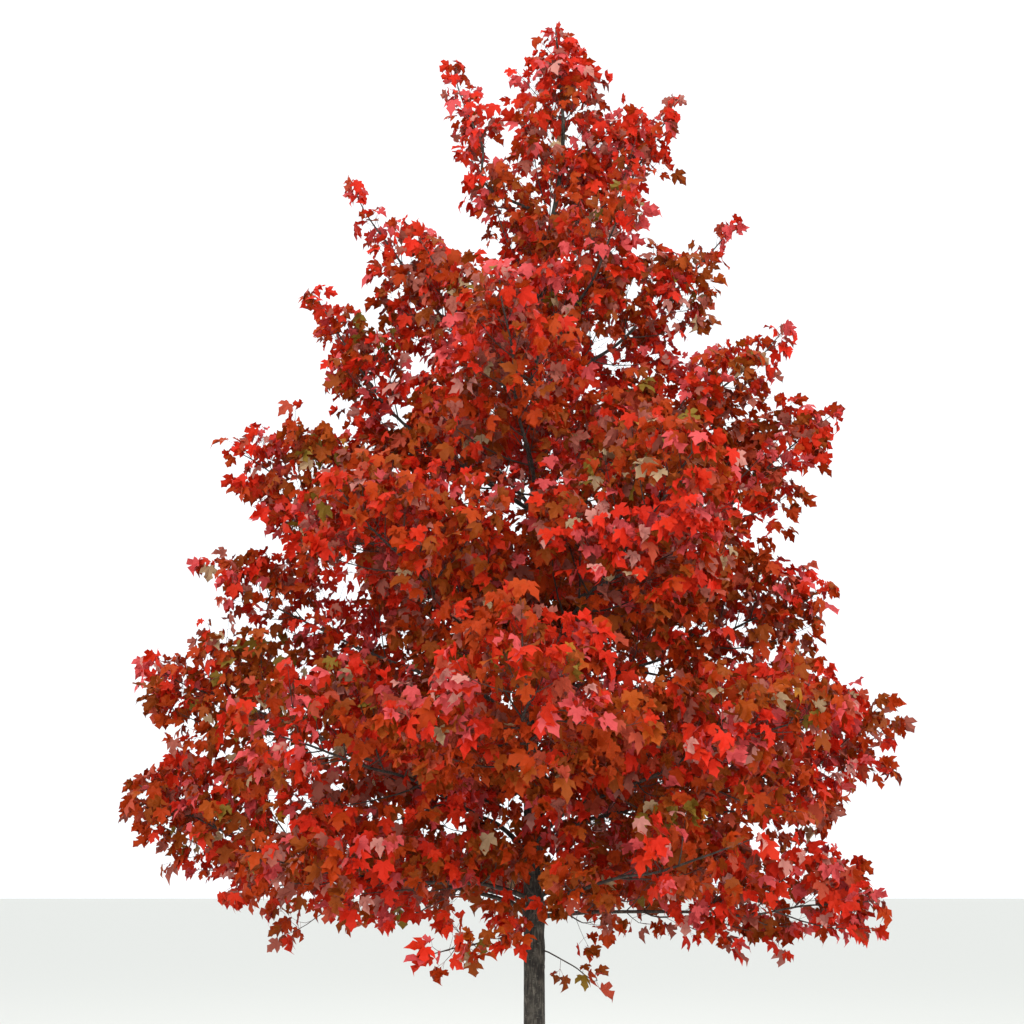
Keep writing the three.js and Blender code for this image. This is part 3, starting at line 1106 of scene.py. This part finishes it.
@dataclass
class Bark:
    """The trunk and the limbs as meshes with the relief of their bark."""

    leader: Leader
    limbs: list[Limb]
    trunk_sides: int = 64
    limb_sides: int = 10
    ring_gap: float = 0.014
    close_rings_to: float = 2.2
    upper_stretch: float = 2.2
    tip_cover: float = 4 * MM
    least_radius: float = 1.2 * MM
    most_relief: float = 9 * MM
    crack_depth: float = 1.8 * MM
    crack_width: float = 0.3
    crack_steepness: float = 2.6
    crack_waver: float = 0.3
    cracks_round: float = 5.5
    cracks_up: float = 4.5
    fine_relief: float = 0.5 * MM
    fine_round: float = 15
    fine_up: float = 14
    young_share: float = 0.25
    ageing_height: float = 1.2
    collar_swell: float = 7 * MM
    collar_height: float = 0.045
    collar_drop: float = 0.01
    collar_sharpness: int = 6
    collar_points: int = 3
    collar_window: float = 0.2
    collar_full_radius: float = 0.04
    scars: int = 9
    scar_levels: tuple[float, float] = (0.25, 1.4)
    scar_width: float = 0.02
    scar_height: float = 0.016
    scar_rim: float = 3.2 * MM
    scar_rim_width: float = 0.5
    scar_dip: float = 1.5 * MM
    scar_window: float = 0.08
    limb_knobs: float = 0.13
    knobs_per_metre: float = 38
    knobs_round: float = 1.7

    def trunk(self) -> bpy.types.Object:
        """Builds the trunk: cracks, collars under the boughs and the healed scars of lost ones.

        Returns:
            The finished piece.
        """
        random = np.random.default_rng(SEED + 1)
        heights = [0.0]
        while heights[-1] < self.leader.top - 10 * MM:
            stretch = 1 if heights[-1] < self.close_rings_to else self.upper_stretch
            heights.append(heights[-1] + self.ring_gap * stretch)
        heights[-1] = self.leader.top - self.tip_cover
        angles = np.linspace(-math.pi, math.pi, self.trunk_sides, endpoint=False)
        feet = [limb.stem.points[0] for limb in self.limbs]
        runs = [limb.stem.points[self.collar_points] - limb.stem.points[0] for limb in self.limbs]
        collars = [(foot, unit(run * FLAT)) for foot, run in zip(feet, runs)]
        scars = [
            (random.uniform(*self.scar_levels), random.uniform(-math.pi, math.pi)) for _ in range(self.scars)
        ]
        points = []
        for height in heights:
            middle = self.leader.at(height)
            radii = np.interp(angles, self.leader.angles, self.leader.outline(height), period=2 * math.pi)
            age = self.young_share + (1 - self.young_share) * math.exp(-height / self.ageing_height)
            depth = self.crack_depth * age
            for angle, radius in zip(angles, radii):
                out = np.array((math.cos(angle), math.sin(angle), 0))
                relief = self.plates(out, height, depth)
                relief += self.collar_relief(collars, out, height, radius)
                relief += self.scar_relief(scars, angle, height, radius)
                reach = radius - depth + min(relief, self.most_relief)
                points.append(middle + out * max(self.least_radius, reach))
        faces = self.ring_faces(len(heights), self.trunk_sides, 0)
        tubes = [(0, len(heights), self.trunk_sides)]
        return self.dressed("trunk_bark", points, faces, tubes, BARK)

    def plates(self, out: np.ndarray, height: float, depth: float) -> float:
        """Works out the plates of bark between the cracks.

        Args:
            out: The direction away from the trunk's middle.
            height: The height above the ground.
            depth: How deep the cracks are at that height.

        Returns:
            How far the bark stands out there, from the bottom of the cracks.
        """
        crack = noise.noise(Vector((*out[:2] * self.cracks_round, height * self.cracks_up)))
        fine = noise.noise(Vector((*out[:2] * self.fine_round, height * self.fine_up)))
        cut = self.crack_steepness * max(0, self.crack_width - abs(crack + self.crack_waver * fine))
        return depth * (1 - cut) + self.fine_relief * fine

    def collar_relief(self, collars: list[tuple], out: np.ndarray, height: float, radius: float) -> float:
        """Works out the swelling under the boughs.

        Args:
            collars: The foot of each bough and the direction in which it leaves.
            out: The direction away from the trunk's middle.
            height: The height above the ground.
            radius: The trunk's radius there.

        Returns:
            How far the bark stands out there.
        """
        relief = 0.0
        for foot, heading in collars:
            if abs(foot[2] - height) < self.collar_window:
                drop = (height - foot[2] + self.collar_drop) / self.collar_height
                near = max(0.0, float(out @ heading)) ** self.collar_sharpness
                girth = min(1, radius / self.collar_full_radius)
                relief += self.collar_swell * near * math.exp(-drop * drop) * girth
        return relief

    def scar_relief(self, scars: list[tuple], angle: float, height: float, radius: float) -> float:
        """Works out the healed scars of lost boughs: a raised rim round a shallow dip.

        Args:
            scars: The height and the bearing of each scar.
            angle: The bearing from the trunk's middle.
            height: The height above the ground.
            radius: The trunk's radius there.

        Returns:
            How far the bark stands out there, or stands back if the number is negative.
        """
        relief = 0.0
        for level, bearing in scars:
            if abs(level - height) < self.scar_window:
                apart = math.remainder(angle - bearing, 2 * math.pi) * radius / self.scar_width
                ring = math.hypot(apart, (height - level) / self.scar_height)
                relief += self.scar_rim * math.exp(-(((ring - 1) / self.scar_rim_width) ** 2))
                relief -= self.scar_dip * math.exp(-ring * ring)
        return relief

    def ring_faces(self, rings: int, sides: int, first: int) -> list[tuple[int, int, int, int]]:
        """Lists the four-sided faces between rings of points.

        Args:
            rings: How many rings there are.
            sides: How many points each of them has.
            first: The number of the first point.

        Returns:
            The point numbers of each face, which points outwards.
        """
        faces = []
        for ring in range(rings - 1):
            for side in range(sides):
                here = first + ring * sides + side
                beside = first + ring * sides + (side + 1) % sides
                faces.append((here, beside, beside + sides, here + sides))
        return faces

    def dressed(
        self, name: str, points: list, faces: list, tubes: list[tuple[int, int, int]], finish: BarkFinish
    ) -> bpy.types.Object:
        """Closes each tube's two ends, makes the piece and gives it its bark.

        Args:
            name: The piece's name.
            points: The vertices.
            faces: The side faces.
            tubes: Each tube's first vertex, its count of rings and its count of sides.
            finish: The bark.

        Returns:
            The finished piece, with its faces pointing outwards.
        """
        ends = []
        for first, rings, sides in tubes:
            last = first + (rings - 1) * sides
            ends.append(tuple(range(first + sides - 1, first - 1, -1)))
            ends.append(tuple(range(last, last + sides)))
        made = add_object(name, mesh_of(name, points, faces + ends))
        made.data.materials.append(finish.material())
        made.data.shade_smooth()
        return made

    def limb_piece(self) -> bpy.types.Object:
        """Builds all limbs as one piece, from inside the leader to their tips.

        Returns:
            The finished piece.
        """
        points, faces, tubes = [], [], []
        steps = [2 * math.pi * step / self.limb_sides for step in range(self.limb_sides)]
        for number, limb in enumerate(self.limbs):
            line = limb.stem.points
            first = len(points)
            side, _ = ring_axes(unit(line[1] - line[0]))
            for at, (point, radius) in enumerate(zip(line, limb.stem.radii)):
                heading = unit(line[min(len(line) - 1, at + 1)] - line[max(0, at - 1)])
                side = unit(side - heading * float(side @ heading))
                over = np.cross(heading, side)
                for angle in steps:
                    out = math.cos(angle) * side + math.sin(angle) * over
                    place = Vector(point * self.knobs_per_metre + out * self.knobs_round)
                    knob = noise.noise(place + Vector((number, 0, 0)))
                    points.append(point + out * radius * (1 + self.limb_knobs * knob))
            faces += self.ring_faces(len(line), self.limb_sides, first)
            tubes.append((first, len(line), self.limb_sides))
        return self.dressed("limb_bark", points, faces, tubes, LIMB_BARK)


@dataclass
class StemPiece:
    """Many thin stems as one piece, swept along their lines by Geometry Nodes."""

    name: str
    stems: list[Stem]
    finish: PlainFinish
    sides: int = 3

    def tree(self) -> bpy.types.NodeTree:
        """Builds the sweep: loose edges become curves, and a ring runs along each.

        Returns:
            The Geometry Nodes tree, which reads each point's radius from the attribute "girth".
        """
        tree = new_tree(f"sweep_{self.name}", {"Sides": "NodeSocketInt", "Finish": "NodeSocketMaterial"})
        given = add_node(tree, "NodeGroupInput").outputs
        girth = add_node(
            tree, "GeometryNodeInputNamedAttribute", {"Name": "girth"}, data_type="FLOAT"
        ).outputs[0]
        lines = add_node(tree, "GeometryNodeMeshToCurve", {"Mesh": given["Geometry"]}).outputs[0]
        ring = add_node(
            tree, "GeometryNodeCurvePrimitiveCircle", {"Resolution": given["Sides"], "Radius": 1.0}
        ).outputs[0]
        swept = add_node(
            tree,
            "GeometryNodeCurveToMesh",
            {"Curve": lines, "Profile Curve": ring, "Scale": girth, "Fill Caps": True},
        ).outputs[0]
        whole = add_node(tree, "GeometryNodeRealizeInstances", {"Geometry": swept}).outputs[0]
        dressed = add_node(
            tree, "GeometryNodeSetMaterial", {"Geometry": whole, "Material": given["Finish"]}
        ).outputs[0]
        add_node(tree, "NodeGroupOutput", {0: dressed})
        return tree

    def build(self) -> bpy.types.Object:
        """Sweeps the stems.

        Returns:
            The piece, as one plain mesh.
        """
        edges = []
        first = 0
        for stem in self.stems:
            last = first + len(stem.points) - 1
            edges += [(point, point + 1) for point in range(first, last)]
            first = last + 1
        points = np.concatenate([stem.points for stem in self.stems])
        made = add_object(self.name, mesh_of(self.name, points, [], edges))
        girth = made.data.attributes.new("girth", "FLOAT", "POINT")
        girth.data.foreach_set("value", np.concatenate([stem.radii for stem in self.stems]))
        return run_nodes(made, self.tree(), {"Sides": self.sides, "Finish": self.finish.material()})


# The right half of a blade's outline, from its foot to its tip, and the ends of its veins, the fork first.
HALF_BLADE = (
    (0.15, -0.09),
    (0.36, -0.12),
    (0.35, 0.06),
    (0.54, 0.17),
    (0.61, 0.50),
    (0.44, 0.46),
    (0.24, 0.42),
    (0.25, 0.58),
    (0.33, 0.71),
    (0.15, 0.83),
)
VEINS = ((0.0, 0.12), (0.0, 0.56), (0.28, 0.28), (-0.28, 0.28))
# The folds of the right half run from one point on the middle rib: along it, to a side lobe and to the base.
FOLD_START = 0.08
FOLDS = ((0.0, 1.0), (0.66, 0.52), (0.42, -0.10))


@dataclass(frozen=True)
class LeafForm:
    """One way in which a leaf is bent. Its blade is one unit long, with its foot at the origin.

    `fold` creases it along its veins, `curl` bends its tip down, `cup` lifts its sides and `twist` turns
    it round its middle rib.
    """

    fold: float
    curl: float
    cup: float
    twist: float

    def mesh(self, name: str) -> bpy.types.Mesh:
        """Builds the blade: five pointed lobes with teeth, creased along their veins.

        Args:
            name: The mesh's name.

        Returns:
            The blade as a flat-shaded sheet of a few dozen triangles.
        """
        outline = [(0.0, 0.0), *HALF_BLADE, (0.0, 1.0), *((-x, y) for x, y in reversed(HALF_BLADE))]
        count = len(outline)
        rim = [(corner, (corner + 1) % count) for corner in range(count)]
        fork = count
        ribs = [(0, fork), *((fork, fork + vein) for vein in range(1, len(VEINS)))]
        flat = [Vector(place) for place in (*outline, *VEINS)]
        triangles_inside = 1
        places, _, faces, *_ = delaunay_2d_cdt(flat, rim + ribs, [], triangles_inside, 1e-5)
        points = [self.lifted(np.array(place)) for place in places]
        return mesh_of(name, np.array(points), faces)

    def lifted(self, place: np.ndarray) -> np.ndarray:
        """Lifts one point of the flat blade out of its plane, and draws it in as folds and curls do.

        Args:
            place: The point across and along the blade.

        Returns:
            The point in space, with the blade's upper side up.
        """
        fold_rise, side_rise = 1.1, 0.25
        curl_power = 2.2
        narrowing, shortening = 0.25, 0.2
        across, along = place
        mirrored = np.array((abs(across), along - FOLD_START))
        folds = [unit(np.array(fold)) for fold in FOLDS]
        ahead = [fold for fold in folds if mirrored @ fold > 0]
        off = min(abs(mirrored[0] * fold[1] - mirrored[1] * fold[0]) for fold in ahead)
        far = math.hypot(across, along)
        height = self.fold * (fold_rise * off + side_rise * abs(across))
        height += self.cup * across**2 - self.curl * far**curl_power + self.twist * across * along
        width = across * (1 - narrowing * self.fold)
        return np.array((width, along * (1 - shortening * abs(self.curl)), height))


FORMS = (
    LeafForm(fold=0.35, curl=0.15, cup=-0.10, twist=0.10),
    LeafForm(fold=0.60, curl=0.30, cup=0.20, twist=-0.20),
    LeafForm(fold=0.25, curl=0.45, cup=-0.45, twist=0.30),
    LeafForm(fold=0.95, curl=0.20, cup=0.60, twist=0.10),
    LeafForm(fold=0.45, curl=-0.15, cup=-0.35, twist=-0.40),
    LeafForm(fold=0.30, curl=0.70, cup=0.15, twist=0.20),
    LeafForm(fold=0.75, curl=0.50, cup=-0.20, twist=-0.10),
)


@dataclass
class Foliage:
    """The leaves and their stalks, dealt into pieces by tint.

    Angles are in degrees, and the stray ones are how far one leaf differs from the next.
    """

    growth: Growth
    leader: Leader
    mean_size: float = 0.08
    size_stray: float = 0.17
    size_limits: tuple[float, float] = (0.6, 1.35)
    stalk_lengths: tuple[float, float] = (0.4, 0.75)
    stalk_radius: float = 0.9 * MM
    stalk_stray: float = 0.15
    stalk_sag: float = 0.25
    outwards: float = 0.6
    heading_stray: float = 0.55
    droop: float = 42
    droop_stray: float = 30
    droop_limits: tuple[float, float] = (-40, 88)
    roll_stray: float = 42
    feet: np.ndarray = field(init=False)
    necks: np.ndarray = field(init=False)
    sizes: np.ndarray = field(init=False)
    turns: np.ndarray = field(init=False)
    forms: np.ndarray = field(init=False)
    tints: np.ndarray = field(init=False)

    def __post_init__(self) -> None:
        """Hangs every leaf on its stalk, and turns, sizes and tints it."""
        random = np.random.default_rng(SEED + 2)
        self.feet = np.array(self.growth.leaf_feet)
        headings = np.array(self.growth.leaf_headings)
        count = len(self.feet)
        self.sizes = self.mean_size * np.clip(random.normal(1, self.size_stray, count), *self.size_limits)
        stalks = self.sizes * random.uniform(*self.stalk_lengths, count)
        hung = unit(headings + random.normal(0, self.stalk_stray, (count, 3)) - self.stalk_sag * UP)
        self.necks = self.feet + hung * stalks[:, None]
        middles = np.array([self.leader.at(float(height)) for height in self.feet[:, 2]])
        outwards = unit((self.feet - middles) * FLAT)
        strayed = random.normal(0, self.heading_stray, (count, 3)) * FLAT
        level = unit(unit(headings * FLAT) + self.outwards * outwards + strayed)
        drooped = np.clip(random.normal(self.droop, self.droop_stray, count), *self.droop_limits)
        droop = np.radians(drooped)[:, None]
        along = level * np.cos(droop) - UP * np.sin(droop)
        upper = UP * np.cos(droop) + level * np.sin(droop)
        roll = np.radians(random.normal(0, self.roll_stray, count))[:, None]
        upper = upper * np.cos(roll) + np.cross(along, upper) * np.sin(roll)
        across = np.cross(along, upper)
        self.turns = np.column_stack(
            (
                np.arctan2(along[:, 2], upper[:, 2]),
                -np.arcsin(np.clip(across[:, 2], -1, 1)),
                np.arctan2(across[:, 1], across[:, 0]),
            )
        )
        self.forms = random.integers(0, len(FORMS), count)
        self.tints = self.deal_tints(random)

    def deal_tints(self, random: np.random.Generator) -> np.ndarray:
        """Deals a colouring to each spray, by its place, and then a tint from it to each of its leaves.

        Args:
            random: The seeded source of the draws.

        Returns:
            Each leaf's place in the list of tints.
        """
        sprays = list(Spray)
        kinds = []
        for share, height in self.growth.spray_places:
            chances = [CHANCES[spray].at(share, height) for spray in sprays]
            kinds.append(random.choice(len(sprays), p=np.array(chances) / sum(chances)))
        weights = np.array([[spray.value.get(tint, 0) for tint in Tint] for spray in sprays], float)
        limits = np.cumsum(weights / weights.sum(axis=1, keepdims=True), axis=1)
        draws = random.random(len(self.growth.leaf_sprays))
        rows = limits[np.array(kinds)[self.growth.leaf_sprays]]
        return (draws[:, None] > rows).sum(axis=1).clip(0, len(Tint) - 1)

    def tree(self) -> bpy.types.NodeTree:
        """Builds the leaf planter: each point gets one of the blade forms, turned and sized.

        Returns:
            The Geometry Nodes tree, which reads the attributes "turn", "size" and "form" of each point.
        """
        tree = new_tree("plant_leaves", {"Blades": "NodeSocketCollection", "Finish": "NodeSocketMaterial"})
        given = add_node(tree, "NodeGroupInput").outputs
        named = "GeometryNodeInputNamedAttribute"
        turn = add_node(tree, named, {"Name": "turn"}, data_type="FLOAT_VECTOR").outputs[0]
        size = add_node(tree, named, {"Name": "size"}, data_type="FLOAT").outputs[0]
        form = add_node(tree, named, {"Name": "form"}, data_type="INT").outputs[0]
        forms = add_node(
            tree,
            "GeometryNodeCollectionInfo",
            {"Collection": given["Blades"], "Separate Children": True, "Reset Children": True},
        ).outputs[0]
        turned = add_node(tree, "FunctionNodeEulerToRotation", {0: turn}).outputs[0]
        planted = add_node(
            tree,
            "GeometryNodeInstanceOnPoints",
            {
                "Points": given["Geometry"],
                "Instance": forms,
                "Pick Instance": True,
                "Instance Index": form,
                "Rotation": turned,
                "Scale": size,
            },
        ).outputs[0]
        whole = add_node(tree, "GeometryNodeRealizeInstances", {"Geometry": planted}).outputs[0]
        dressed = add_node(
            tree, "GeometryNodeSetMaterial", {"Geometry": whole, "Material": given["Finish"]}
        ).outputs[0]
        add_node(tree, "NodeGroupOutput", {0: dressed})
        return tree

    def leaf_pieces(self) -> list[bpy.types.Object]:
        """Builds the leaves.

        Returns:
            One plain mesh for each tint.
        """
        blades = bpy.data.collections.new("blades")
        for number, form in enumerate(FORMS):
            name = f"blade_{number}"
            blades.objects.link(bpy.data.objects.new(name, form.mesh(name)))
        tree = self.tree()
        stored = (
            ("turn", "FLOAT_VECTOR", "vector", self.turns),
            ("size", "FLOAT", "value", self.sizes),
            ("form", "INT", "value", self.forms),
        )
        pieces = []
        for number, tint in enumerate(Tint):
            chosen = self.tints == number
            name = f"leaves_{tint.name.lower()}"
            made = add_object(name, mesh_of(name, self.necks[chosen]))
            for attribute, kind, key, values in stored:
                data = made.data.attributes.new(attribute, kind, "POINT").data
                data.foreach_set(key, values[chosen].ravel())
            pieces.append(run_nodes(made, tree, {"Blades": blades, "Finish": tint.material()}))
        for blade in list(blades.objects):
            bpy.data.objects.remove(blade)
        bpy.data.collections.remove(blades)
        return pieces

    def stalks(self) -> tuple[list[Stem], list[Stem]]:
        """Lists the leaf stalks, by height.

        Returns:
            Those of the crown's lower half of leaves, and those of its upper half.
        """
        radii = np.full(2, self.stalk_radius)
        order = np.argsort(self.feet[:, 2])
        stalks = [Stem(np.array((self.feet[leaf], self.necks[leaf])), radii) for leaf in order]
        half = len(stalks) // 2
        return stalks[:half], stalks[half:]


# ---------------------------------------------------------------------------------- the studio


@dataclass(frozen=True)
class Light:
    """A broad round light that faces the crown."""

    name: str
    place: tuple[float, float, float]
    power: float
    size: float = 9.0

    def build(self, aim: tuple[float, float, float]) -> None:
        """Hangs the light.

        Args:
            aim: The point that it faces.
        """
        lamp = bpy.data.lights.new(self.name, "AREA")
        lamp.shape = "DISK"
        lamp.size = self.size
        lamp.energy = self.power
        made = add_object(self.name, lamp)
        made.location = self.place
        made.rotation_euler = (Vector(aim) - Vector(self.place)).to_track_quat("-Z", "Y").to_euler()


@dataclass(frozen=True)
class Studio:
    """A plain pale floor, soft light all round and a camera at standing eye height."""

    eye: tuple[float, float, float] = (-0.118, -8.0, 1.6)
    look_up: float = 15.0
    lens: float = 50.0
    sensor: float = 36.0
    sight: float = 2000.0
    floor_side: float = 900.0
    sky: int = 0xF1F5F8
    sky_strength: float = 1.3
    crown: tuple[float, float, float] = (0.0, 0.0, 3.6)
    lights: tuple[Light, ...] = (
        Light("key", (-7, -10, 9), 680),
        Light("fill", (8, -10, 5.5), 600),
        Light("top", (1, 5, 13), 350),
    )

    def build(self) -> None:
        """Sets the floor, the light and the camera."""
        self.add_floor()
        self.add_sky()
        for light in self.lights:
            light.build(self.crown)
        self.add_camera()

    def add_floor(self) -> None:
        """Lays the floor, which belongs to the studio and not to the tree."""
        half = self.floor_side / 2
        corners = [(-half, -half, 0), (half, -half, 0), (half, half, 0), (-half, half, 0)]
        floor = add_object("floor", mesh_of("floor", corners, [(0, 1, 2, 3)]))
        floor.data.materials.append(FLOOR_PAINT.material())
        floor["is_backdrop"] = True

    def add_sky(self) -> None:
        """Lights the scene evenly from all round, and shows its colours as they are."""
        world = bpy.data.worlds.new("soft_sky")
        world.use_nodes = True
        background = world.node_tree.nodes["Background"].inputs
        background["Color"].default_value = linear_colour(self.sky)
        background["Strength"].default_value = self.sky_strength
        bpy.context.scene.world = world
        bpy.context.scene.view_settings.view_transform = "Standard"

    def add_camera(self) -> None:
        """Adds the camera, level from side to side and tilted up at the crown."""
        camera = bpy.data.cameras.new("eye")
        camera.lens = self.lens
        camera.sensor_width = self.sensor
        camera.clip_end = self.sight
        made = add_object("eye", camera)
        made.location = self.eye
        made.rotation_euler = (math.radians(90 + self.look_up), 0, 0)
        bpy.context.scene.camera = made


# ---------------------------------------------------------------------------------- the tree


@dataclass
class Maple:
    """The whole tree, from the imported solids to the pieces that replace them."""

    inner_leader: tuple[float, float] = (1.9, 5.9)
    inner_gap: float = 0.05
    shoot_sides: int = 5
    leader: Leader = field(default_factory=Leader)
    limbs: list[Limb] = field(init=False)

    def __post_init__(self) -> None:
        """Pairs each mass of foliage with its bough and reads the limb that runs through both."""
        self.limbs = []
        for mass in self.nodes("foliage"):
            bough = mass.replace("foliage", "bough")
            found = Solid(bough) if bough in frame["nodes"] else None
            self.limbs.append(Limb(Solid(mass), found, self.leader))

    def nodes(self, word: str) -> list[str]:
        """Lists the CAD nodes that have a word in their name."""
        return sorted(name for name in frame["nodes"] if word in name)

    def add_wood(self) -> None:
        """Replaces the trunk and the boughs."""
        bark = Bark(self.leader, [limb for limb in self.limbs if limb.mass.name != TOP_MASS])
        hand_over(bark.trunk(), ["trunk"])
        hand_over(bark.limb_piece(), self.nodes("bough"))

    def grown(self) -> Growth:
        """Grows the crown.

        Returns:
            The shoots, the twigs and the places of the leaves.
        """
        growth = Growth(self.leader)
        for number, limb in enumerate(self.limbs):
            growth.seed(RESOWN.get(limb.mass.name, number))
            growth.grow(limb)
            if limb.bough is not None:
                growth.grow_inside(limb.stem, limb.start_of_mass)
        line = self.leader.line(*self.inner_leader, self.inner_gap)
        inner = Stem(line, np.zeros(len(line)))
        growth.seed(len(self.limbs))
        growth.grow_inside(inner, inner.length)
        return growth

    def add_crown(self) -> None:
        """Replaces the masses of foliage."""
        masses = self.nodes("foliage")
        growth = self.grown()
        foliage = Foliage(growth, self.leader)
        shoots = StemPiece("shoots", growth.shoots, SHOOT_BARK, self.shoot_sides)
        hand_over(shoots.build(), masses)
        hand_over(StemPiece("twigs", growth.twigs, TWIG_BARK).build(), masses)
        for name, stalks in zip(("lower_leaf_stalks", "upper_leaf_stalks"), foliage.stalks()):
            hand_over(StemPiece(name, stalks, LEAF_STALK).build(), masses)
        for piece in foliage.leaf_pieces():
            hand_over(piece, masses)
        LOG.info("%d leaves in %d sprays", len(growth.leaf_feet), len(growth.spray_places))


def main() -> None:
    """Builds the tree and its studio."""
    logging.basicConfig(level=logging.INFO, format="%(name)s: %(message)s")
    maple = Maple()
    maple.add_wood()
    maple.add_crown()
    Studio().build()
    boxes = {"cad": CAD_BOX, "visual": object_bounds()}
    {name: [list(corner) for corner in box] for name, box in boxes.items()}


if __name__ == "__main__":
    main()
